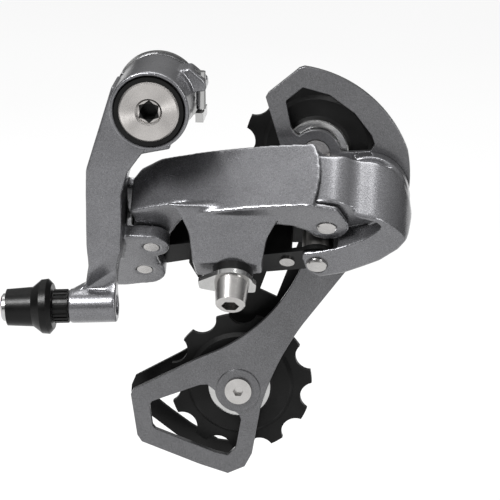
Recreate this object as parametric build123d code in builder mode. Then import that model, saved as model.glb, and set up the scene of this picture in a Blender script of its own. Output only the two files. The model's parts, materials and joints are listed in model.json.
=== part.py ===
"""Rear bicycle derailleur, medium cage, in its outermost (high gear) position with no chain fitted.

Millimetres.  The origin is the centre of the mounting bolt in the face that meets the frame's hanger.
+Y points inboard (towards the wheel), +X towards the front of the bicycle, +Z up.
"""
from build123d import *
import os
from math import cos, radians, sin

os.makedirs("parts", exist_ok=True)

# ---------------------------------------------------------------- driving dimensions
running = 0.05            # radial clearance of a turning fit
static_fit = 0.02         # radial clearance of a fixed pin in its hole

# mounting bolt and its housing, all turned about the Y axis
thread_r = 5.0            # M10 hanger thread
thread_length = 9.0
shank_r = 6.0
bolt_head_r = 9.6
bolt_face_y = -28.2
housing_r = 12.6
housing_front_y = -27.0
housing_back_y = -2.0
stop_plate_r = 13.3
key_size = 5.0            # hexagon key, across flats

# parallelogram: four parallel pins, leaning inboard
pin_lean = radians(42)
pin_r = 2.5
link_origin = Vector(-1.7, -10.6, -49.1)     # outer link's rear pin, in the lower lug's lower face
rear_outer = (0.0, 0.0)
rear_inner = (-3.4, -14.1)
front_outer = (56.7, 14.0)
front_inner = (53.3, -0.1)
lower_lug = (0.0, 5.0)                       # level range of the upper knuckle's lower lug
upper_lug = (19.8, 23.5)
rear_flange = (5.4, 7.4)                     # outer link's lower flange at the rear pin
front_flange = (0.5, 2.5)                    # and at the front pin
rear_top = (17.5, 19.5)                      # its upper flange at the rear pin
front_top = (21.4, 23.4)                     # and at the front pin
open_pivot = 0.15                            # radial clearance where the linkage's loop is opened
rivet_place = (43.6, -2.4)
sheet = 1.5                                  # inner link's sheet thickness
inner_rear = (5.4, 19.5)                     # level range of the inner link at each pin
inner_front = (-2.0, 9.0)

# cable adjuster, along its own axis from the front end of its boss
boss_end = Vector(-12.3, -15.0, -67.1)
boss_tilt = radians(3)
boss_r = 5.6
boss_length = 15.3
barrel_r = 3.0
barrel_length = 37.3

# cage
cage_axis = (67.3, -31.4)                    # x, z of the cage pivot
guide_centre = (50.2, -19.8)
tension_centre = (25.2, -100.7)
outer_plate_y = (1.0, 3.2)
inner_plate_y = (15.5, 17.0)
knuckle_back_y = 0.6
axle_r = 4.0
bush_r = 4.0
pulley_bolt_r = 2.5
chain_pitch = 12.7
pulley_teeth = 11
pulley_tip_r = 23.6
pulley_mid_y = 9.35
guide_phase = 159.5                          # direction of one tooth
tension_phase = 104.8
stop_pin_r = 2.0

pin_dir = Vector(0, cos(pin_lean), sin(pin_lean))
rise_dir = Vector(0, -sin(pin_lean), cos(pin_lean))


# ---------------------------------------------------------------- planes and shared shapes
def facing(y):
    """Plane square to the bolt at a given y: local x is X, local y is Z, and its normal points outboard."""
    return Plane.XZ.offset(-y)


def leaning(level):
    """Plane square to the link pins at a level along them: local x is X and local y rises."""
    return Plane(origin=link_origin + pin_dir * level, x_dir=(1, 0, 0), z_dir=-pin_dir)


def pin_plane(pin):
    """Plane through a link pin's axis: local x is X, local y runs up the pin, zero at level zero."""
    base = link_origin + Vector(pin[0], 0, 0) + rise_dir * pin[1]
    return Plane(origin=base, x_dir=(1, 0, 0), z_dir=rise_dir)


def bolt_plane(x, z):
    """Plane through an axis parallel to Y: local x is X, local y is Y."""
    return Plane(origin=(x, 0, z), x_dir=(1, 0, 0), z_dir=(0, 0, 1))


barrel_dir = Vector(-cos(boss_tilt), 0, -sin(boss_tilt))
barrel_plane = Plane(origin=boss_end, x_dir=(0, -1, 0), z_dir=Vector(0, -1, 0).cross(barrel_dir))


def outline(plane, points, radii=0.0):
    """Closed outline of straight sides, with its corners rounded by one radius or a list of them."""
    with BuildSketch(plane) as profile:
        with BuildLine():
            if radii:
                FilletPolyline(*points, radius=radii, close=True)
            else:
                Polyline(*points, close=True)
        make_face()
    return profile.sketch


def discs(plane, centres, radius):
    """One disc of the same radius at each centre."""
    with BuildSketch(plane) as profile:
        with Locations(*centres):
            Circle(radius)
    return profile.sketch


def across(shape, y_from, y_to, mode=Mode.ADD):
    """Extrude a sketch that stands on facing(y_from) inboard to y_to."""
    extrude(shape, amount=y_from - y_to, mode=mode)


def slab(shape, levels, mode=Mode.ADD):
    """Extrude a sketch that stands on leaning(levels[0]) up the pins to levels[1]."""
    extrude(shape, amount=levels[0] - levels[1], mode=mode)


def turned(plane, *profile, mode=Mode.ADD):
    """Solid turned about the plane's y axis from (radius, distance along the axis) points."""
    with BuildSketch(plane) as section:
        with BuildLine():
            Polyline(*profile, close=True)
        make_face()
    revolve(section.sketch, axis=Axis(plane.origin, plane.y_dir), mode=mode)


def rod(plane, radius, start, end, mode=Mode.ADD):
    """Plain cylinder along the plane's y axis."""
    turned(plane, (0, start), (radius, start), (radius, end), (0, end), mode=mode)


def ring(plane, inner, outer, start, end, mode=Mode.ADD):
    """Plain ring along the plane's y axis."""
    turned(plane, (inner, start), (outer, start), (outer, end), (inner, end), mode=mode)


def hexagon(plane, across_flats, centre=(0, 0)):
    """Hexagon for a key socket."""
    with BuildSketch(plane) as profile:
        with Locations(centre):
            RegularPolygon(across_flats / 2, 6, major_radius=False)
    return profile.sketch


def at_angle(centre, radius, degrees):
    """Point at an angle round a centre, counter-clockwise from +X as seen from outboard."""
    return (centre[0] + radius * cos(radians(degrees)), centre[1] + radius * sin(radians(degrees)))


def finish(piece, name):
    """Label a finished piece and write it."""
    piece.part.label = name
    export_step(piece.part, f"parts/{name}.step")


mount_axis = bolt_plane(0, 0)

# ---------------------------------------------------------------- fixed to the bicycle
with BuildPart() as mounting_bolt:
    turned(mount_axis, (0, bolt_face_y), (bolt_head_r - 0.6, bolt_face_y), (bolt_head_r, bolt_face_y + 0.6),
           (bolt_head_r, -24.5), (shank_r, -24.5), (shank_r, housing_back_y), (5.5, housing_back_y),
           (5.5, 0), (thread_r, 0), (thread_r, thread_length - 0.8), (thread_r - 0.8, thread_length),
           (0, thread_length))
    turned(mount_axis, (0, bolt_face_y), (4.3, bolt_face_y), (3.7, bolt_face_y + 0.6),
           (3.7, bolt_face_y + 1.2), (0, bolt_face_y + 1.2), mode=Mode.SUBTRACT)
    across(hexagon(facing(bolt_face_y), key_size), bolt_face_y, bolt_face_y + 6, mode=Mode.SUBTRACT)
finish(mounting_bolt, "mounting_bolt")

with BuildPart() as bolt_seal_ring:
    ring(mount_axis, bolt_head_r, 10.9, -27.7, -24.4)
finish(bolt_seal_ring, "bolt_seal_ring")

tab_top_z = -4.0
with BuildPart() as stop_plate:
    ring(mount_axis, 5.5, stop_plate_r, housing_back_y + 0.1, 0)
    tab = [(12.9, tab_top_z - 3), (15.4, tab_top_z - 3), (15.4, tab_top_z), (12.9, tab_top_z)]
    across(outline(facing(-12), tab), -12, 0)
    root = [(10.5, tab_top_z - 3), (15.4, tab_top_z - 3), (15.4, tab_top_z), (10.5, tab_top_z)]
    across(outline(facing(housing_back_y + 0.1), root), housing_back_y + 0.1, 0)
finish(stop_plate, "stop_plate")

# ---------------------------------------------------------------- upper knuckle
screw_r = 1.5
b_screw_tip_z = tab_top_z + 0.1
b_screw_axis = Plane(origin=(14.3, -8.0, 0), x_dir=(1, 0, 0), z_dir=(0, -1, 0))
limit_screws = {"high_limit_screw": (8.0, 12.0), "low_limit_screw": (1.0, 12.0)}   # rise, level
limit_head = (-19.3, -17.5)                  # along X from the rear outer pin
limit_tip = -9.2
limit_axes = {}
for screw_name, (rise, level) in limit_screws.items():
    screw_base = link_origin + rise_dir * rise + pin_dir * level
    limit_axes[screw_name] = Plane(origin=screw_base, x_dir=(0, 1, 0), z_dir=(0, 0, -1))

arm_front = [(-12.6, 6.0), (-21.2, -21.5), (-21.5, -46.0), (-20.9, -53.0), (-22.4, -60.5), (-27.0, -63.0),
             (-27.0, -67.0), (-12.4, -67.0), (-12.4, -60.2), (-12.2, -54.8), (-10.4, -48.0), (-9.9, -37.6),
             (-9.9, -28.9), (-8.0, -22.1), (-3.3, -15.7), (4.0, -8.0)]
arm_side = [(-19.5, 8.0), (-20.2, -30.0), (-19.6, -50.0), (-19.0, -62.0), (-19.0, -67.0), (-11.0, -67.0),
            (-10.0, -58.0), (-4.0, -52.0), (-4.0, 8.0)]
wrist = Plane(origin=(-19.5, -19.5, -53.8), x_dir=(0, -1, 0), z_dir=(0.83, 0, 0.55))
wrist_hollow = [(8.0, 0.0), (0.0, 0.0), (-3.8, 5.0), (-3.6, 8.0), (-0.6, 12.0), (8.0, 14.0)]
rear_lobe = [(-20.5, -11.0), (-17.0, 4.0), (-11.0, 6.2), (-1.4, 6.2), (4.5, 2.5), (1.4, -5.8), (2.0, -12.0),
             (-4.0, -22.8), (-10.0, -24.4), (-18.0, -25.0)]
upper_plate = [(-19.5, -14.0), (-19.5, 13.0), (-10.0, 13.0), (-8.5, 5.0), (0.0, 6.0), (5.0, 0.0),
               (1.5, -16.0), (-3.4, -20.1), (-12.0, -20.0)]
spine = [(-19.5, -14.5), (-10.3, -14.5), (-10.3, 13.0), (-19.5, 13.0)]
neck = [(-9.0, -9.0), (4.0, -11.0), (4.6, -16.8), (-6.0, -19.0), (-12.0, -24.0)]
screw_lug = [(6.0, 9.5), (11.2, 10.6), (16.2, 6.4), (16.6, 3.2), (8.0, 2.4)]

with BuildPart() as b_knuckle:
    across(outline(facing(-24), arm_front), -24, 0)
    with BuildSketch(Plane.YZ.offset(-40)) as arm_limits:
        with BuildLine():
            Polyline(*arm_side, close=True)
        make_face()
    extrude(arm_limits.sketch, amount=60, mode=Mode.INTERSECT)
    extrude(outline(wrist, wrist_hollow), amount=16, both=True, mode=Mode.SUBTRACT)
    rod(mount_axis, housing_r, housing_front_y, housing_back_y)
    across(outline(facing(-9), neck), -9, -2.5)
    across(outline(facing(-13), screw_lug, 1.0), -13, -4)
    slab(outline(leaning(lower_lug[0]), rear_lobe), lower_lug)
    slab(discs(leaning(lower_lug[0]), [(0.0, 0.3)], 5.8), lower_lug)
    slab(discs(leaning(lower_lug[0]), [(-4.0, -15.4)], 7.4), lower_lug)
    slab(outline(leaning(lower_lug[0]), spine), (lower_lug[0], upper_lug[1]))
    slab(outline(leaning(upper_lug[0]), upper_plate), upper_lug)
    slab(discs(leaning(upper_lug[0]), [rear_outer, rear_inner], 6.0), upper_lug)
    rod(barrel_plane, boss_r, 0, boss_length)
    # bores: bolt and spring, seal ring, stop plate, link pins, adjuster and screws
    rod(mount_axis, 8.0, -40, 0, mode=Mode.SUBTRACT)
    rod(mount_axis, 11.1, -40, -24.2, mode=Mode.SUBTRACT)
    ring(mount_axis, 8.0, 20.0, housing_back_y, 5.0, mode=Mode.SUBTRACT)
    for pin in (rear_outer, rear_inner):
        rod(pin_plane(pin), pin_r + static_fit, -10, 30, mode=Mode.SUBTRACT)
    rod(barrel_plane, barrel_r + running, -5, boss_length + 5, mode=Mode.SUBTRACT)
    rod(b_screw_axis, screw_r + running, -10, 20, mode=Mode.SUBTRACT)
    for screw_axis in limit_axes.values():
        rod(screw_axis, screw_r + running, -25, limit_tip, mode=Mode.SUBTRACT)
        rod(screw_axis, 2.6, -25, limit_head[1] + 0.1, mode=Mode.SUBTRACT)
finish(b_knuckle, "b_knuckle")

with BuildPart() as knuckle_bush:
    ring(mount_axis, shank_r + running, 7.98, -24.0, -16.0)
finish(knuckle_bush, "knuckle_bush")

with BuildPart() as knuckle_spring:
    ring(mount_axis, 6.5, 7.7, -15.5, housing_back_y - 0.3)
finish(knuckle_spring, "knuckle_spring")

with BuildPart() as b_tension_screw:
    turned(b_screw_axis, (0, b_screw_tip_z), (screw_r - 0.4, b_screw_tip_z), (screw_r, b_screw_tip_z + 0.5),
           (screw_r, 8.6), (0, 8.6))
finish(b_tension_screw, "b_tension_screw")

for screw_name, screw_axis in limit_axes.items():
    with BuildPart() as limit_screw:
        rod(screw_axis, screw_r, limit_head[0], limit_tip)
        rod(screw_axis, 2.4, limit_head[0], limit_head[1])
        head_end = screw_axis.origin + Vector(limit_head[0], 0, 0)
        head_plane = Plane(origin=head_end, x_dir=(0, 1, 0), z_dir=(1, 0, 0))
        with BuildSketch(head_plane) as cross_slot:
            Rectangle(2.8, 0.7)
            Rectangle(0.7, 2.8)
        extrude(cross_slot.sketch, amount=0.9, mode=Mode.SUBTRACT)
    finish(limit_screw, screw_name)

for pin_name, pin in (("outer_link_pin_rear", rear_outer), ("inner_link_pin_rear", rear_inner)):
    with BuildPart() as rear_pin:
        rod(pin_plane(pin), pin_r, lower_lug[0] + 0.2, upper_lug[1] - 0.2)
    finish(rear_pin, pin_name)

# ---------------------------------------------------------------- cable adjuster
collar = (boss_length + 0.2, boss_length + 5.2)
knob = (collar[1] + 0.2, 35.6)
tip_start = 30.0                             # the barrel widens to its tip here
tip_r = 4.5
cable_r = 1.2
cable_housing_r = 2.6
with BuildPart() as barrel_collar:
    ring(barrel_plane, barrel_r + running, 5.1, *collar)
finish(barrel_collar, "barrel_collar")

with BuildPart() as barrel_bolt:
    turned(barrel_plane, (cable_r, 2.0), (barrel_r, 2.0), (barrel_r, tip_start), (tip_r, tip_start),
           (tip_r, barrel_length - 0.5), (tip_r - 0.5, barrel_length), (cable_housing_r, barrel_length),
           (cable_housing_r, 26.0), (cable_r, 26.0))
finish(barrel_bolt, "barrel_bolt")

with BuildPart() as barrel_knob:
    turned(barrel_plane, (barrel_r, knob[0]), (7.4, knob[0]), (8.9, knob[0] + 1.4), (8.7, knob[0] + 3.6),
           (6.4, knob[0] + 6.5), (5.9, knob[1]), (tip_r, knob[1]), (tip_r, tip_start), (barrel_r, tip_start))
finish(barrel_knob, "barrel_knob")

# ---------------------------------------------------------------- outer link
skin_levels = (0.5, 23.9)
skin_rear = (-6.4, 12.6)
skin_middle = (26.0, 23.0)
skin_front = (56.5, 27.2)
inner_skin_rear = (-5.8, 10.2)
inner_skin_middle = (26.8, 20.5)
inner_skin_front = (56.5, 26.1)
face_outline = [(-6.4, 5.4), (-6.4, 18.0), (-3.6, 21.6), (3.0, 24.0), (52.3, 24.2), (54.2, 19.0),
                (54.9, 13.0), (54.4, 7.0), (53.0, 0.5), (12.5, 0.5), (12.5, 5.4)]
front_web = [(12.5, 18.0), (12.5, 12.0), (30.0, 13.5), (40.0, 15.0), (46.0, 14.0), (50.3, 11.3),
             (56.7, 14.0), (63.0, 17.0), (60.5, 24.0), (55.0, 25.6), (46.0, 24.6), (26.0, 21.8)]
rear_web = [(-5.9, 2.0), (6.0, 0.0), (10.0, 8.0), (15.5, 12.0), (15.5, 18.5), (4.0, 14.8), (-5.5, 11.6)]
rear_top_web = [(-5.8, 2.0), (4.0, -4.5), (15.0, 1.0), (17.0, 18.6), (4.0, 14.8), (-5.5, 11.6)]
front_top_web = [(14.0, 9.0), (55.0, 9.2), (61.0, 12.0), (60.0, 17.0), (52.0, 25.2), (26.0, 21.6),
                 (14.0, 18.0)]
top_step = [(14.0, 9.0), (16.0, 9.0), (16.0, 18.6), (14.0, 18.0)]
front_step = [(12.5, 12.0), (15.5, 12.0), (15.5, 18.6), (12.5, 17.6)]
clamp_axis = (27.2, 4.0)
clamp_face = -10.0                           # level of the extension's lower face
extension_top = 4.1                          # level where it meets the link's lower web
extension_front_y = -23.6
extension = [(4.5, -30.4), (8.6, -33.4), (11.7, -40.0), (12.8, -49.5), (14.0, -62.0), (34.8, -62.0),
             (34.8, -49.0), (36.4, -41.4), (40.5, -33.8), (46.0, -30.4)]
ahead_of_inner_link = [(-10.0, 0.0), (27.0, 0.0), (60.0, 7.8), (60.0, 40.0), (-10.0, 40.0)]
cage_side_y = 0.2                            # nothing of the link reaches further inboard beside the cage

with BuildPart() as extension_block:
    across(outline(facing(extension_front_y), extension), extension_front_y, extension_front_y + 40)
    slab(outline(leaning(clamp_face), ahead_of_inner_link), (clamp_face, extension_top),
         mode=Mode.INTERSECT)

with BuildPart() as outer_link:
    with BuildSketch(leaning(skin_levels[0])) as skin:
        with BuildLine():
            ThreePointArc(skin_rear, skin_middle, skin_front)
            Line(skin_front, inner_skin_front)
            ThreePointArc(inner_skin_front, inner_skin_middle, inner_skin_rear)
            Line(inner_skin_rear, skin_rear)
        make_face()
    slab(skin.sketch, skin_levels)
    # the face's outline seen squarely: local x is X, local y runs up the pins
    face_plane = Plane(origin=link_origin, x_dir=(1, 0, 0), z_dir=rise_dir)
    extrude(outline(face_plane, face_outline), amount=60, mode=Mode.INTERSECT)
    slab(outline(leaning(front_flange[0]), front_web), (front_flange[0], front_flange[1] + 0.2))
    slab(discs(leaning(front_flange[0]), [front_outer], 7.0), front_flange)
    slab(outline(leaning(rear_flange[0]), rear_web), rear_flange)
    slab(discs(leaning(rear_flange[0]), [rear_outer], 6.0), rear_flange)
    slab(outline(leaning(rear_top[0]), rear_top_web), rear_top)
    slab(discs(leaning(rear_top[0]), [rear_outer], 6.0), rear_top)
    slab(outline(leaning(front_top[0]), front_top_web), front_top)
    slab(discs(leaning(front_top[0]), [front_outer], 5.4), front_top)
    slab(outline(leaning(rear_top[0]), top_step), (rear_top[0], front_top[1]))
    slab(outline(leaning(front_flange[0]), front_step), (front_flange[0], rear_flange[1]))
    add(extension_block.part)
    beside_cage = [(20.0, -60.0), (70.0, -60.0), (70.0, 0.0), (20.0, 0.0)]
    across(outline(facing(cage_side_y), beside_cage), cage_side_y, 20, mode=Mode.SUBTRACT)
    for pin in (rear_outer, front_outer):
        rod(pin_plane(pin), pin_r + running, -0.2, 30, mode=Mode.SUBTRACT)
    rod(pin_plane(clamp_axis), pin_r + static_fit, clamp_face - 1, -1.0, mode=Mode.SUBTRACT)
finish(outer_link, "outer_link")

clamp_plane = pin_plane(clamp_axis)
with BuildPart() as cable_clamp_plate:
    ring(clamp_plane, pin_r + static_fit, 6.4, clamp_face - 3.0, clamp_face)
finish(cable_clamp_plate, "cable_clamp_plate")

washer_levels = (clamp_face - 4.6, clamp_face - 3.0)
washer_ears = [(-10.6, -3.8), (-4.0, -6.0), (7.0, -5.6), (7.6, -1.0), (3.0, 5.6), (-4.0, 5.4),
               (-10.8, 0.4)]
with BuildPart() as cable_clamp_washer:
    ear_points = [(clamp_axis[0] + x, clamp_axis[1] + rise) for x, rise in washer_ears]
    slab(outline(leaning(washer_levels[0]), ear_points, 1.0), washer_levels)
    slab(discs(leaning(washer_levels[0]), [clamp_axis], 6.6), washer_levels)
    slab(discs(leaning(washer_levels[0]), [clamp_axis], pin_r + static_fit), washer_levels,
         mode=Mode.SUBTRACT)
finish(cable_clamp_washer, "cable_clamp_washer")

clamp_head = -23.0                           # level of the clamp bolt's outer end
with BuildPart() as cable_clamp_bolt:
    turned(clamp_plane, (0, clamp_head), (4.1, clamp_head), (4.7, clamp_head + 0.6), (5.6, washer_levels[0]),
           (pin_r, washer_levels[0]), (pin_r, -2.0), (0, -2.0))
    key_plane = Plane(origin=clamp_plane.origin + pin_dir * clamp_head, x_dir=(1, 0, 0), z_dir=pin_dir)
    extrude(hexagon(key_plane, key_size), amount=4.5, mode=Mode.SUBTRACT)
finish(cable_clamp_bolt, "cable_clamp_bolt")

# ---------------------------------------------------------------- inner link
link_span = Vector(front_inner[0] - rear_inner[0], front_inner[1] - rear_inner[1])
link_length = link_span.length


def along_link(level):
    """Plane square to the pins: local x runs from the rear inner pin to the front one."""
    run = Vector(1, 0, 0) * link_span.X + rise_dir * link_span.Y
    base = link_origin + Vector(rear_inner[0], 0, 0) + rise_dir * rear_inner[1] + pin_dir * level
    return Plane(origin=base, x_dir=run.normalized(), z_dir=-pin_dir)


web_side = (3.5, 5.0)
rear_low = (inner_rear[0], inner_rear[0] + sheet)
rear_high = (inner_rear[1] - sheet, inner_rear[1])
front_low = (inner_front[0], inner_front[0] + sheet)
front_high = (inner_front[1] - sheet, inner_front[1])
web_face = [(-4.0, inner_rear[0]), (-4.0, inner_rear[1]), (13.0, inner_rear[1]), (34.0, inner_front[1]),
            (51.0, inner_front[1]), (51.0, inner_front[0]), (17.0, inner_front[0]), (17.0, inner_rear[0])]
with BuildPart() as inner_link:
    web_plane = Plane(origin=along_link(0).origin + along_link(0).y_dir * web_side[0],
                      x_dir=along_link(0).x_dir, z_dir=along_link(0).y_dir)
    extrude(outline(web_plane, web_face), amount=web_side[1] - web_side[0])
    rear_ear = [(0.0, -6.0), (12.0, -4.5), (14.0, 5.0), (0.0, 5.0)]
    front_ear = [(link_length, -6.0), (20.0, -4.5), (17.0, 5.0), (link_length, 5.0)]
    short_ear = [(link_length, -6.0), (46.0, -4.0), (44.0, 5.0), (link_length, 5.0)]
    slab(outline(along_link(rear_low[0]), [(0.0, -6.0), (18.5, -4.5), (18.5, 5.0), (0.0, 5.0)]), rear_low)
    slab(outline(along_link(rear_high[0]), rear_ear), rear_high)
    slab(outline(along_link(front_low[0]), front_ear), front_low)
    slab(outline(along_link(front_high[0]), short_ear), front_high)
    slab(outline(along_link(front_low[0]), [(17.0, -4.5), (18.5, -4.5), (18.5, 5.0), (17.0, 5.0)]),
         (front_low[0], rear_low[1]))
    for low_high in (rear_low, rear_high):
        slab(discs(leaning(low_high[0]), [rear_inner], 6.0), low_high)
    for low_high in (front_low, front_high):
        slab(discs(leaning(low_high[0]), [front_inner], 6.0), low_high)
    rod(pin_plane(rear_inner), pin_r + running, -10, 30, mode=Mode.SUBTRACT)
    rod(pin_plane(front_inner), pin_r + open_pivot, -10, 30, mode=Mode.SUBTRACT)
    rod(pin_plane(rivet_place), 1.2 + static_fit, -10, 3.0, mode=Mode.SUBTRACT)
finish(inner_link, "inner_link")

with BuildPart() as inner_link_rivet:
    rod(pin_plane(rivet_place), 2.4, front_low[0] - 0.7, front_low[0])
    rod(pin_plane(rivet_place), 1.2, front_low[0] - 0.7, front_low[1] + 0.6)
finish(inner_link_rivet, "inner_link_rivet")

with BuildPart() as return_spring:
    ring(pin_plane(front_inner), pin_r + 0.4, 5.0, front_low[1] + 0.3, front_high[0] - 0.3)
finish(return_spring, "return_spring")

# ---------------------------------------------------------------- lower knuckle
knuckle_front = [(46.9, -50.0), (48.2, -54.6), (51.8, -57.3), (60.5, -55.2), (65.4, -53.0), (71.6, -50.0),
                 (77.6, -45.2), (80.6, -41.0), (81.3, -37.2), (80.4, -31.4), (78.4, -26.0), (74.8, -22.0),
                 (68.4, -18.4), (60.2, -16.8), (49.0, -16.8), (49.0, -38.0)]
knuckle_side = [(-30.0, -12.0), (-30.0, -24.2), (-25.6, -32.0), (-13.2, -54.0), (-11.0, -58.0), (-3.0, -58.0),
                (knuckle_back_y, -47.0), (knuckle_back_y, -12.0)]
boss_round_r = 11.7                          # of the knuckle round the outer link's front pin
shoulder = [(6.7, 9.6), (8.4, 8.5), (15.0, 7.2), (21.2, 3.4), (25.2, -2.4), (26.4, -9.0)]
pocket = [(-40.0, -9.4), (-7.3, -9.4), (-2.8, -8.7), (5.8, -5.8), (12.2, -2.4), (16.2, 1.2), (17.2, 3.2),
          (15.2, 5.4), (11.6, 6.4), (9.6, 7.0), (8.4, 8.6), (8.8, 14.0), (-2.0, 15.0), (-40.0, 17.0)]
inner_slot = [(-40.0, -5.8), (0.0, -5.8), (4.0, -4.6), (16.6, 0.8), (16.0, 1.4), (12.2, -2.4), (5.8, -5.8),
              (3.2, -7.0), (3.2, -26.0), (-40.0, -26.0)]
swing = [(-9.0, 10.0), (-40.0, 30.0), (-40.0, -12.0), (-12.0, -4.0), (-9.0, 0.0)]
top_relief = [(6.6, -1.0), (8.0, 4.4), (10.0, 10.0), (0.0, 20.0), (-40.0, 20.0), (-40.0, -14.0), (0.0, -5.6)]
everywhere = [(-10.0, -60.0), (120.0, -60.0), (120.0, 60.0), (-10.0, 60.0)]
stop_radius = 15.5
stop_angle = -100.0
cage_swing = 100.0


def from_front_pin(points):
    """Shift points given from the front outer pin to the link plane's own origin."""
    return [(front_outer[0] + x, front_outer[1] + rise) for x, rise in points]


knuckle_axis = bolt_plane(*cage_axis)
with BuildPart() as p_knuckle:
    across(outline(facing(-30), knuckle_front), -30, 5)
    with BuildSketch(Plane.YZ) as knuckle_profile:
        with BuildLine():
            Polyline(*knuckle_side, close=True)
        make_face()
    extrude(knuckle_profile.sketch, amount=100, mode=Mode.INTERSECT)
    with BuildSketch(leaning(-60)) as knuckle_plan:
        with BuildLine():
            ends = from_front_pin([(-9.0, 7.5), (0.0, boss_round_r), shoulder[0]])
            boss_round = ThreePointArc(*ends)
            flank = Spline(*from_front_pin(shoulder))
            Polyline(flank @ 1, *from_front_pin([(26.4, -60.0), (-9.0, -60.0), (-9.0, 7.5)]))
        make_face()
    extrude(knuckle_plan.sketch, amount=-110, mode=Mode.INTERSECT)
    slab(outline(leaning(-30), everywhere), (-30, front_top[0] - 0.3), mode=Mode.INTERSECT)
    rod(knuckle_axis, 12.9, -6.0, knuckle_back_y)
    slab(outline(leaning(-40), from_front_pin(pocket)), (-40, front_flange[1] + 0.5), mode=Mode.SUBTRACT)
    slab(outline(leaning(inner_front[0] - 0.2), from_front_pin(inner_slot)), (inner_front[0] - 0.2, 4.5),
         mode=Mode.SUBTRACT)
    slot_left = [(-40.0, -5.8), (0.0, -5.8), (3.2, -7.0), (3.2, -26.0), (-40.0, -26.0)]
    slab(outline(leaning(inner_front[0] - 0.2), from_front_pin(slot_left)), (inner_front[0] - 0.2,
         inner_front[1] + 0.3), mode=Mode.SUBTRACT)
    with BuildSketch(leaning(-40)) as swing_room:
        with BuildLine():
            Polyline(*from_front_pin(swing), close=True)
        make_face()
        with Locations(front_outer):
            Circle(11.7, mode=Mode.SUBTRACT)
    slab(swing_room.sketch, (-40, 40), mode=Mode.SUBTRACT)
    slab(outline(leaning(front_top[0] - 0.3), from_front_pin(top_relief)),
         (front_top[0] - 0.3, front_top[1] + 4), mode=Mode.SUBTRACT)
    slab(discs(leaning(front_top[0] - 0.3), [front_outer], 5.6), (front_top[0] - 0.3, front_top[1] + 4),
         mode=Mode.SUBTRACT)
    rod(pin_plane(front_outer), pin_r + static_fit, -10, 30, mode=Mode.SUBTRACT)
    rod(pin_plane(front_inner), pin_r + static_fit, -4.3, 30, mode=Mode.SUBTRACT)
    rod(pin_plane(front_inner), 3.7, -30, -4.3, mode=Mode.SUBTRACT)
    rod(knuckle_axis, 7.0, -10.0, 5.0, mode=Mode.SUBTRACT)
    rod(knuckle_axis, axle_r + running, -13.6, 5.0, mode=Mode.SUBTRACT)
    # curved slot that the cage's stop pin runs in
    with BuildSketch(facing(-4.4)) as stop_slot:
        with Locations(cage_axis):
            Circle(stop_radius + stop_pin_r + 0.2)
            Circle(stop_radius - stop_pin_r - 0.2, mode=Mode.SUBTRACT)
        with BuildLine():
            Polyline(cage_axis, *[at_angle(cage_axis, 40, angle) for angle in (-107.6, -50.0, 10.0, 30.0)],
                     close=True)
        make_face(mode=Mode.INTERSECT)
    across(stop_slot.sketch, -4.4, 5, mode=Mode.SUBTRACT)
finish(p_knuckle, "p_knuckle")

with BuildPart() as outer_link_pin_front:
    rod(pin_plane(front_outer), pin_r, front_flange[0], front_top[1] - 0.2)
    turned(pin_plane(front_outer), (0, front_flange[0] - 0.6), (2.7, front_flange[0] - 0.6),
           (3.1, front_flange[0] - 0.25), (3.1, front_flange[0] - 0.05), (0, front_flange[0] - 0.05))
    rod(pin_plane(front_outer), pin_r, front_flange[0] - 0.1, front_flange[0] + 0.1)
finish(outer_link_pin_front, "outer_link_pin_front")

with BuildPart() as inner_link_pin_front:
    turned(pin_plane(front_inner), (0, -5.5), (3.0, -5.5), (3.3, -5.1), (3.3, -4.32), (pin_r, -4.32),
           (pin_r, 11.6), (0, 11.6))
finish(inner_link_pin_front, "inner_link_pin_front")

with BuildPart() as cage_spring:
    ring(knuckle_axis, 5.0, 6.7, -9.7, -0.4)
finish(cage_spring, "cage_spring")

# ---------------------------------------------------------------- cage
with BuildPart() as cage_axle:
    turned(knuckle_axis, (0, -13.3), (axle_r - 0.5, -13.3), (axle_r, -12.8), (axle_r, outer_plate_y[1]),
           (6.0, outer_plate_y[1]), (6.0, outer_plate_y[1] + 0.7), (0, outer_plate_y[1] + 0.7))
finish(cage_axle, "cage_axle")

with BuildPart() as cage_stop_pin:
    rod(bolt_plane(*at_angle(cage_axis, stop_radius, stop_angle)), stop_pin_r, -4.0, outer_plate_y[0])
finish(cage_stop_pin, "cage_stop_pin")

window_arc_r = 7.8                           # plate left round each pulley bolt beside the windows
upper_window = [(40.4, -2.8), (45.8, 1.8), (54.4, -0.5), (62.5, -6.4), (67.9, -13.5), (68.9, -16.4),
                (67.6, -18.6)]
head_height = 1.2                            # of the pulley bolts' heads
tension_rim = 0.5                            # raised rim round the tension pulley's bolt
with BuildSketch(facing(outer_plate_y[0])) as plate_outline:
    with BuildLine():
        top_edge = ThreePointArc((46.3, 8.6), (66.8, -0.3), (79.4, -18.0))
        side_edge = ThreePointArc(top_edge @ 1, (80.3, -26.0), (79.2, -36.0))
        Polyline(side_edge @ 1, (72.5, -46.0), (60.4, -58.6), (48.5, -74.4))
        arm_edge = ThreePointArc((48.5, -74.4), (38.6, -90.5), (32.4, -107.0))
        Polyline(arm_edge @ 1, (29.6, -123.0), (27.2, -127.6), (21.6, -130.2), (12.3, -127.3), (-7.0, -119.9),
                 (-8.5, -117.6), (-10.5, -103.4), (-9.6, -101.6), (12.5, -90.0))
        back_edge = ThreePointArc((12.5, -90.0), (30.6, -79.0), (43.4, -62.6))
        Polyline(back_edge @ 1, (47.5, -54.0), (46.5, -44.0), (38.6, -17.0), (34.0, -1.6), (34.8, -0.2),
                 (44.6, 8.0), (46.3, 8.6))
    make_face()
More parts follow.
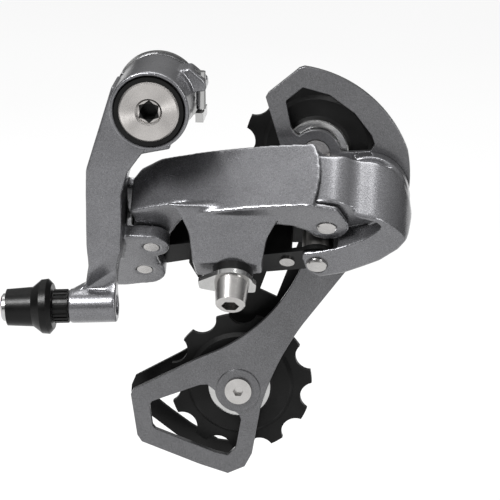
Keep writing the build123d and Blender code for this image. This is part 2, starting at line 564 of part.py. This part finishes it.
with BuildSketch(facing(outer_plate_y[0])) as upper_opening:
    with BuildLine():
        cap_ends = [at_angle(guide_centre, window_arc_r, angle) for angle in (4.0, 70.0, 136.0)]
        Polyline(*upper_window, cap_ends[0])
        ThreePointArc(*cap_ends)
        Polyline(cap_ends[2], (42.9, -12.8), (42.0, -11.0), (40.4, -2.8))
    make_face()
    fillet(upper_opening.vertices().group_by(Axis.Z)[-1], 0.9)


with BuildSketch(facing(outer_plate_y[0])) as lower_opening:
    with BuildLine():
        bolt_side = [at_angle(tension_centre, window_arc_r, angle) for angle in (184.0, 222.0, 262.0)]
        Polyline((24.3, -120.8), (21.6, -123.7), (17.3, -122.8), (-2.4, -115.2), (-3.4, -114.0),
                 (-4.3, -107.0), (-3.4, -105.6), (12.4, -99.4), (14.9, -99.2), bolt_side[0])
        ThreePointArc(*bolt_side)
        Polyline(bolt_side[2], (25.4, -109.4), (26.0, -111.2), (24.3, -120.8))
    make_face()
with BuildPart() as outer_plate:
    across(plate_outline.sketch, *outer_plate_y)
    across(upper_opening.sketch, *outer_plate_y, mode=Mode.SUBTRACT)
    across(lower_opening.sketch, *outer_plate_y, mode=Mode.SUBTRACT)
    ring(bolt_plane(*tension_centre), pulley_bolt_r, 7.2, outer_plate_y[0] - tension_rim, outer_plate_y[0])
    rod(knuckle_axis, axle_r + static_fit, 0, 5, mode=Mode.SUBTRACT)
    for centre in (guide_centre, tension_centre):
        rod(bolt_plane(*centre), pulley_bolt_r + static_fit, 0, 5, mode=Mode.SUBTRACT)
    rod(bolt_plane(*guide_centre), 4.5, 0, outer_plate_y[0] + head_height, mode=Mode.SUBTRACT)
finish(outer_plate, "outer_plate")

with BuildPart() as inner_plate:
    with BuildSketch(facing(inner_plate_y[0])) as frame_outline:
        with BuildLine():
            Polyline((36.0, -24.0), (37.4, -9.0), (45.0, 0.5), (58.0, -1.0), (66.0, -13.0), (66.0, -26.0),
                     (55.0, -52.0), (42.0, -84.0), (33.6, -104.0), (29.6, -123.0), (27.2, -127.6),
                     (21.6, -130.0), (13.0, -128.4), (5.8, -124.7), (-5.4, -116.1), (-11.6, -111.0),
                     (-12.2, -107.5), (-12.0, -105.1), (-10.7, -102.0), (4.3, -93.5), (13.0, -88.0),
                     (19.5, -82.0), (28.0, -62.0), close=True)
        make_face()
    across(frame_outline.sketch, *inner_plate_y)
    inner_window = [(-4.4, -109.2), (-4.0, -105.6), (-2.8, -104.4), (10.0, -97.0), (13.0, -98.0),
                    (15.0, -108.0), (24.0, -113.5), (25.0, -119.0), (22.0, -124.5), (17.0, -124.0),
                    (8.0, -118.7), (1.3, -113.8)]
    across(outline(facing(inner_plate_y[0]), inner_window), *inner_plate_y, mode=Mode.SUBTRACT)
    with BuildSketch(facing(inner_plate_y[0])) as arm_slot:
        with BuildLine():
            Polyline((40.5, -44.0), (46.5, -46.5), (36.5, -73.0), (31.0, -70.5), close=True)
        make_face()
    across(arm_slot.sketch, *inner_plate_y, mode=Mode.SUBTRACT)
    for centre in (guide_centre, tension_centre):
        rod(bolt_plane(*centre), pulley_bolt_r + static_fit, 10, 20, mode=Mode.SUBTRACT)
finish(inner_plate, "inner_plate")

gap_r = 4.9                                  # rollers sit in these gaps
gap_centre_r = chain_pitch / (2 * sin(radians(180 / pulley_teeth))) + 2.5
cap_offset = 5.35                            # of a dust cap's outer face from the pulley's middle
pulley_half = [(17.6, 1.1), (16.4, 2.4), (11.0, 2.4), (8.9, 3.1), (8.4, 3.95), (bush_r + running, 3.95)]
tooth_half = 1.1
pulley_places = {                            # centre, where the bolt's head ends, direction of one tooth
    "guide": (guide_centre, outer_plate_y[0] + head_height, guide_phase),
    "tension": (tension_centre, outer_plate_y[0] - tension_rim, tension_phase),
}
for prefix, (centre, head_back, phase) in pulley_places.items():
    axis = bolt_plane(*centre)
    head_front = head_back - head_height
    with BuildPart() as pulley_bolt:
        rod(axis, 4.4, head_front, head_back)
        rod(axis, pulley_bolt_r, head_front, inner_plate_y[1] + 0.9)
        across(hexagon(facing(head_front), 3.0, centre), head_front, head_front + 1.8, mode=Mode.SUBTRACT)
    finish(pulley_bolt, f"{prefix}_bolt")
    with BuildPart() as pulley_bush:
        ring(axis, pulley_bolt_r + static_fit, bush_r, outer_plate_y[1], inner_plate_y[0])
    finish(pulley_bush, f"{prefix}_bush")
    with BuildPart() as dust_caps:
        for side in (1, -1):
            near = pulley_mid_y - side * cap_offset
            turned(axis, (bush_r + static_fit, near), (9.8, near), (10.2, near + side * 0.4),
                   (10.2, near + side * 1.7), (9.5, near + side * 1.7), (9.5, near + side * 0.8),
                   (bush_r + static_fit, near + side * 0.8))
    finish(dust_caps, f"{prefix}_dust_caps")
    with BuildPart() as pulley:
        front = [(radius, pulley_mid_y - rise) for radius, rise in pulley_half]
        back = [(radius, pulley_mid_y + rise) for radius, rise in reversed(pulley_half)]
        turned(axis, *front, *back)
        with BuildSketch(facing(pulley_mid_y - tooth_half)) as teeth:
            with Locations(centre):
                Circle(pulley_tip_r)
                Circle(15.0, mode=Mode.SUBTRACT)
                with PolarLocations(gap_centre_r, pulley_teeth, start_angle=phase + 180 / pulley_teeth):
                    Circle(gap_r, mode=Mode.SUBTRACT)
        across(teeth.sketch, pulley_mid_y - tooth_half, pulley_mid_y + tooth_half)
    finish(pulley, f"{prefix}_pulley")
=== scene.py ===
"""Rear bicycle derailleur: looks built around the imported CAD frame, in metres."""
import json
import math

import bmesh
import bpy
from mathutils import Matrix, Vector


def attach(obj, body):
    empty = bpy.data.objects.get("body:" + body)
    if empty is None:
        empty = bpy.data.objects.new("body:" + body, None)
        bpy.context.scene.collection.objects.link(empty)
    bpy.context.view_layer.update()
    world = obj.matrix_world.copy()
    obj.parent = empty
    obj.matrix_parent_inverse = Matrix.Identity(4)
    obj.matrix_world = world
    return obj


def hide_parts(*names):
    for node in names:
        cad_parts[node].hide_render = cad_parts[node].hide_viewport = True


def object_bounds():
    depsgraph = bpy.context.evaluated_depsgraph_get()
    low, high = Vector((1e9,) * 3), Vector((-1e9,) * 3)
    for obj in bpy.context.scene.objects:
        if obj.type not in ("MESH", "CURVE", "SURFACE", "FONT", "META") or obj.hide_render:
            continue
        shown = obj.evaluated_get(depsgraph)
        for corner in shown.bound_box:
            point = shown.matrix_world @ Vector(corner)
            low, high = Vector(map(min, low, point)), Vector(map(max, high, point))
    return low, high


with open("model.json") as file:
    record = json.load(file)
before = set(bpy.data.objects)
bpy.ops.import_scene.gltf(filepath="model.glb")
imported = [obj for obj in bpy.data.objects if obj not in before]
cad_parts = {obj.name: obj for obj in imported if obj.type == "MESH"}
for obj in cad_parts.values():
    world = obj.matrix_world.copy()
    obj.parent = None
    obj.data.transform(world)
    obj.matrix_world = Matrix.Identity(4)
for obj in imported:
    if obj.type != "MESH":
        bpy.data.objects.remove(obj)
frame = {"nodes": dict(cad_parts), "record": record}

cad_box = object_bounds()
nodes = frame["nodes"]
record = frame["record"]
body_of_node = {node: body for body, group in record["behaviour"]["bodies"].items() for node in group}
slot_of_node = {row["node"]: row["material_slot"] for row in record["subparts"]}
MM = 0.001

casting_voxel = 0.36 * MM
casting_rounds = {"b_knuckle": 26, "outer_link": 36, "p_knuckle": 30}     # smoothing passes
plate_bevel = 0.45 * MM
socket_r = 3.0 * MM                          # the mounting bolt's key socket lies within this
socket_lip = 0.5 * MM                        # from the bolt's face to the start of the painted socket shade
socket_depth = 8.0 * MM
collar_r = 5.1 * MM                          # of the barrel adjuster's collar
rib_count = 22
rib_size = (0.9 * MM, 0.75 * MM, 4.4 * MM)   # radially, round the collar and along it
rib_sink = 0.1 * MM                          # from the collar's surface to the middle of a rib
floor_drop = 60 * MM                         # the part hangs from its bolt, clear of the floor
floor_half = 6.0


# ---------------------------------------------------------------- node helpers
class Shader:
    """One material's node tree, with short calls for the nodes used here."""

    def __init__(self, name):
        self.material = bpy.data.materials.new(name)
        self.material.use_nodes = True
        self.tree = self.material.node_tree
        self.shader = self.tree.nodes["Principled BSDF"]
        coordinates = self.tree.nodes.new("ShaderNodeTexCoord")
        self.place = coordinates.outputs["Object"]

    def set(self, **values):
        for socket, value in values.items():
            self.shader.inputs[socket.replace("_", " ")].default_value = value

    def link(self, output, socket):
        self.tree.links.new(output, self.shader.inputs[socket])

    def noise(self, scale, detail=2.0, roughness=0.5, place=None):
        node = self.tree.nodes.new("ShaderNodeTexNoise")
        node.inputs["Scale"].default_value = scale
        node.inputs["Detail"].default_value = detail
        node.inputs["Roughness"].default_value = roughness
        self.tree.links.new(place or self.place, node.inputs["Vector"])
        return node.outputs["Fac"]

    def cells(self, scale):
        node = self.tree.nodes.new("ShaderNodeTexVoronoi")
        node.inputs["Scale"].default_value = scale
        self.tree.links.new(self.place, node.inputs["Vector"])
        return node.outputs["Color"]

    def stretched(self, scale):
        node = self.tree.nodes.new("ShaderNodeMapping")
        node.inputs["Scale"].default_value = scale
        self.tree.links.new(self.place, node.inputs["Vector"])
        return node.outputs["Vector"]

    def ramp(self, value, *stops):
        node = self.tree.nodes.new("ShaderNodeValToRGB")
        elements = node.color_ramp.elements
        while len(elements) < len(stops):
            elements.new(0.5)
        for element, (position, colour) in zip(elements, stops):
            element.position = position
            element.color = (*colour, 1.0)
        self.tree.links.new(value, node.inputs["Fac"])
        return node.outputs["Color"]

    def remap(self, value, low, high):
        node = self.tree.nodes.new("ShaderNodeMapRange")
        node.inputs["To Min"].default_value = low
        node.inputs["To Max"].default_value = high
        self.tree.links.new(value, node.inputs["Value"])
        return node.outputs["Result"]

    def multiply(self, first, second):
        """Product of two colours."""
        node = self.tree.nodes.new("ShaderNodeMix")
        node.data_type = "RGBA"
        node.blend_type = "MULTIPLY"
        node.inputs[0].default_value = 1.0
        self.tree.links.new(first, node.inputs[6])
        self.tree.links.new(second, node.inputs[7])
        return node.outputs[2]

    def bump(self, height, distance, strength):
        node = self.tree.nodes.new("ShaderNodeBump")
        node.inputs["Distance"].default_value = distance
        node.inputs["Strength"].default_value = strength
        self.tree.links.new(height, node.inputs["Height"])
        self.tree.links.new(node.outputs["Normal"], self.shader.inputs["Normal"])


def grey(level):
    return (level, level, level)


# ---------------------------------------------------------------- materials
def flake_paint(name, dark, light, roughness):
    """Grey paint with fine metal flakes and a soft clear coat."""
    made = Shader(name)
    made.set(Metallic=0.8, Coat_Weight=0.5, Coat_Roughness=0.16)
    flakes = made.cells(6000.0)
    between = tuple((low + high) / 2 for low, high in zip(dark, light))
    base = made.ramp(flakes, (0.0, dark), (0.55, between), (1.0, light))
    cloud = made.ramp(made.noise(90.0), (0.3, grey(0.86)), (0.7, grey(1.0)))
    made.link(made.multiply(base, cloud), "Base Color")
    made.link(made.remap(made.noise(2400.0, 3.0), roughness - 0.07, roughness + 0.09), "Roughness")
    made.bump(made.noise(3600.0, 2.0), 0.00004, 0.6)
    return made.material


def turned_metal(name, colour, roughness, anisotropy=0.0):
    """Bright metal with fine turning marks around the Y axis."""
    made = Shader(name)
    made.set(Metallic=1.0, Anisotropic=anisotropy)
    wear = made.noise(260.0, 4.0)
    made.link(made.ramp(wear, (0.25, tuple(c * 0.86 for c in colour)), (0.7, colour)), "Base Color")
    made.link(made.remap(made.noise(1500.0, 3.0), roughness - 0.05, roughness + 0.08), "Roughness")
    made.bump(made.noise(1800.0, 2.0, place=made.stretched((1.0, 4.0, 1.0))), 0.00002, 0.5)
    if anisotropy:
        tangent = made.tree.nodes.new("ShaderNodeTangent")
        tangent.direction_type = "RADIAL"
        tangent.axis = "Y"
        made.link(tangent.outputs["Tangent"], "Tangent")
    return made.material


def dark_finish(name, low, high, roughness, grain=2600.0, depth=0.00003):
    """Black coating or moulded plastic with a fine grain and slight unevenness."""
    made = Shader(name)
    made.set(Metallic=0.0, Specular_IOR_Level=0.16)
    made.link(made.ramp(made.noise(140.0, 4.0), (0.3, grey(low)), (0.75, grey(high))), "Base Color")
    made.link(made.remap(made.noise(900.0, 3.0), roughness - 0.07, roughness + 0.1), "Roughness")
    made.bump(made.noise(grain, 2.0), depth, 0.7)
    return made.material


materials = {
    "grey_flake_paint": flake_paint("flake_paint", (0.085, 0.085, 0.09), (0.215, 0.215, 0.226), 0.28),
    "grey_plate_paint": flake_paint("plate_paint", (0.06, 0.06, 0.063), (0.16, 0.16, 0.167), 0.30),
    "turned_steel": turned_metal("turned_steel", (0.46, 0.45, 0.44), 0.22),
    "plated_steel": turned_metal("plated_steel", (0.48, 0.48, 0.475), 0.18),
    "spring_steel": turned_metal("spring_steel", (0.30, 0.29, 0.28), 0.35),
    "black_steel": dark_finish("black_steel", 0.002, 0.005, 0.30),
    "black_plastic": dark_finish("black_plastic", 0.0015, 0.004, 0.30),
    "pulley_plastic": dark_finish("pulley_plastic", 0.002, 0.005, 0.38, grain=1800.0, depth=0.00005),
    "bush_plastic": dark_finish("bush_plastic", 0.008, 0.016, 0.5),
}
bolt_face = turned_metal("bolt_face", (0.50, 0.48, 0.465), 0.26, anisotropy=0.9)


def dress(thing, material):
    """Give a piece one material."""
    thing.data.materials.clear()
    thing.data.materials.append(material)


for node, thing in nodes.items():
    dress(thing, materials[slot_of_node[node]])


def paint_socket_shade():
    """Painted shade: black coating on the inside of the mounting bolt's key socket, standing in for the
    shade in the recess.
    """
    bolt = nodes["mounting_bolt"]
    dress(bolt, bolt_face)
    # second slot, black_steel, is the painted shade inside the socket
    bolt.data.materials.append(materials["black_steel"])
    lip = min((bolt.matrix_world @ vertex.co).y for vertex in bolt.data.vertices) + socket_lip
    for polygon in bolt.data.polygons:
        spot = bolt.matrix_world @ polygon.center
        if math.hypot(spot.x, spot.z) < socket_r and lip < spot.y < lip + socket_depth:
            polygon.material_index = 1


paint_socket_shade()


# ---------------------------------------------------------------- stand-ins made from CAD nodes
def copy_of(node, suffix):
    """New object with its own copy of a node's mesh."""
    thing = bpy.data.objects.new(node + suffix, nodes[node].data.copy())
    bpy.context.collection.objects.link(thing)
    return thing


def stand_in(thing, node):
    """Apply a copy's modifiers and let it stand for its node."""
    graph = bpy.context.evaluated_depsgraph_get()
    thing.data = bpy.data.meshes.new_from_object(thing.evaluated_get(graph))
    thing.modifiers.clear()
    dress(thing, materials[slot_of_node[node]])
    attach(thing, body_of_node[node])
    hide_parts(node)


def add_casting(node, rounds):
    """Rounded casting of a node's own shape."""
    thing = copy_of(node, "_cast")
    remesh = thing.modifiers.new("remesh", "REMESH")
    remesh.mode = "VOXEL"
    remesh.voxel_size = casting_voxel
    smooth = thing.modifiers.new("smooth", "SMOOTH")
    smooth.factor = 0.5
    smooth.iterations = rounds
    stand_in(thing, node)
    thing.data.polygons.foreach_set("use_smooth", [True] * len(thing.data.polygons))


def add_bevelled(node, width):
    """Pressed plate with broken edges."""
    thing = copy_of(node, "_bevelled")
    mesh = bmesh.new()
    mesh.from_mesh(thing.data)
    bmesh.ops.remove_doubles(mesh, verts=mesh.verts, dist=0.005 * MM)
    bmesh.ops.dissolve_limit(mesh, angle_limit=math.radians(1), verts=mesh.verts, edges=mesh.edges)
    mesh.to_mesh(thing.data)
    mesh.free()
    bevel = thing.modifiers.new("bevel", "BEVEL")
    bevel.width = width
    bevel.segments = 2
    bevel.limit_method = "ANGLE"
    bevel.angle_limit = math.radians(50)
    stand_in(thing, node)


for node, rounds in casting_rounds.items():
    add_casting(node, rounds)
add_bevelled("outer_plate", plate_bevel)


# ---------------------------------------------------------------- added detail
def add_grip_ribs():
    """Lengthwise ribs round the barrel adjuster's collar."""
    collar = nodes["barrel_collar"]
    turn = next(joint for joint in record["behaviour"]["joints"] if joint["name"] == "barrel_turn")
    axis = Vector(turn["axis"]).normalized()
    start = Vector(turn["pos_m"])
    corners = [collar.matrix_world @ Vector(corner) for corner in collar.bound_box]
    centre = sum(corners, Vector()) / len(corners)
    centre = start + axis * (centre - start).dot(axis)
    along_barrel = Matrix.Translation(centre) @ axis.to_track_quat("Z", "Y").to_matrix().to_4x4()
    outward = Matrix.Translation((collar_r - rib_sink, 0.0, 0.0))
    shape = Matrix.Diagonal((*rib_size, 1.0))
    mesh = bmesh.new()
    for index in range(rib_count):
        spin = Matrix.Rotation(2 * math.pi * index / rib_count, 4, "Z")
        bmesh.ops.create_cube(mesh, size=1.0, matrix=along_barrel @ spin @ outward @ shape)
    data = bpy.data.meshes.new("collar_ribs")
    mesh.to_mesh(data)
    mesh.free()
    ribs = bpy.data.objects.new("collar_ribs", data)
    bpy.context.collection.objects.link(ribs)
    dress(ribs, materials["black_plastic"])
    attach(ribs, body_of_node["barrel_collar"])


add_grip_ribs()


# ---------------------------------------------------------------- stage, light and camera
def add_stage():
    """Plain pale floor."""
    mesh = bpy.data.meshes.new("floor")
    floor_z = cad_box[0].z - floor_drop
    corners = [(x * floor_half, y * floor_half, floor_z) for x, y in ((-1, -1), (1, -1), (1, 1), (-1, 1))]
    mesh.from_pydata(corners, [], [(0, 1, 2, 3)])
    floor = bpy.data.objects.new("floor", mesh)
    bpy.context.collection.objects.link(floor)
    made = Shader("floor_paper")
    made.set(Roughness=0.9, Specular_IOR_Level=0.1)
    made.set(Emission_Color=(1.0, 1.0, 1.0, 1.0), Emission_Strength=0.78)
    made.link(made.ramp(made.noise(3.0), (0.2, grey(0.17)), (0.8, grey(0.2))), "Base Color")
    dress(floor, made.material)


def add_area(name, place, target, size, power):
    """Soft box light aimed at a point."""
    light = bpy.data.lights.new(name, "AREA")
    light.shape = "RECTANGLE"
    light.size, light.size_y = size
    light.energy = power
    lamp = bpy.data.objects.new(name, light)
    lamp.location = place
    lamp.rotation_euler = (Vector(target) - Vector(place)).to_track_quat("-Z", "Y").to_euler()
    bpy.context.collection.objects.link(lamp)


def add_world():
    """Surroundings that are dark at the horizon and bright overhead."""
    world = bpy.data.worlds.new("studio")
    world.use_nodes = True
    tree = world.node_tree
    place = tree.nodes.new("ShaderNodeTexCoord")
    split = tree.nodes.new("ShaderNodeSeparateXYZ")
    fade = tree.nodes.new("ShaderNodeValToRGB")
    horizon, overhead = fade.color_ramp.elements
    horizon.position = 0.05
    horizon.color = (0.05, 0.05, 0.05, 1.0)
    overhead.position = 0.75
    overhead.color = (1.0, 1.0, 1.0, 1.0)
    tree.links.new(place.outputs["Generated"], split.inputs["Vector"])
    tree.links.new(split.outputs["Z"], fade.inputs["Fac"])
    tree.links.new(fade.outputs["Color"], tree.nodes["Background"].inputs["Color"])
    tree.nodes["Background"].inputs["Strength"].default_value = 0.7
    bpy.context.scene.world = world


def add_camera():
    """Long lens in front of the part, above it and slightly to its right."""
    camera_data = bpy.data.cameras.new("camera")
    camera_data.sensor_width = 36.0
    camera_data.lens = 202.2
    camera_data.clip_end = 50.0
    camera = bpy.data.objects.new("camera", camera_data)
    camera.location = (0.104729, -0.864417, 0.213066)
    camera.rotation_euler = (math.radians(73), 0.0, math.radians(5))
    bpy.context.collection.objects.link(camera)
    bpy.context.scene.camera = camera


add_stage()
middle = (cad_box[0] + cad_box[1]) / 2
add_area("key", (-0.30, -0.50, 0.50), middle, (0.30, 0.22), 10.0)
add_area("fill", (0.55, -0.50, 0.25), middle, (0.14, 0.45), 2.2)
add_area("top", (0.1, 0.15, 0.7), middle, (0.6, 0.4), 5.0)
add_world()
add_camera()
bpy.context.scene.view_settings.view_transform = "Standard"
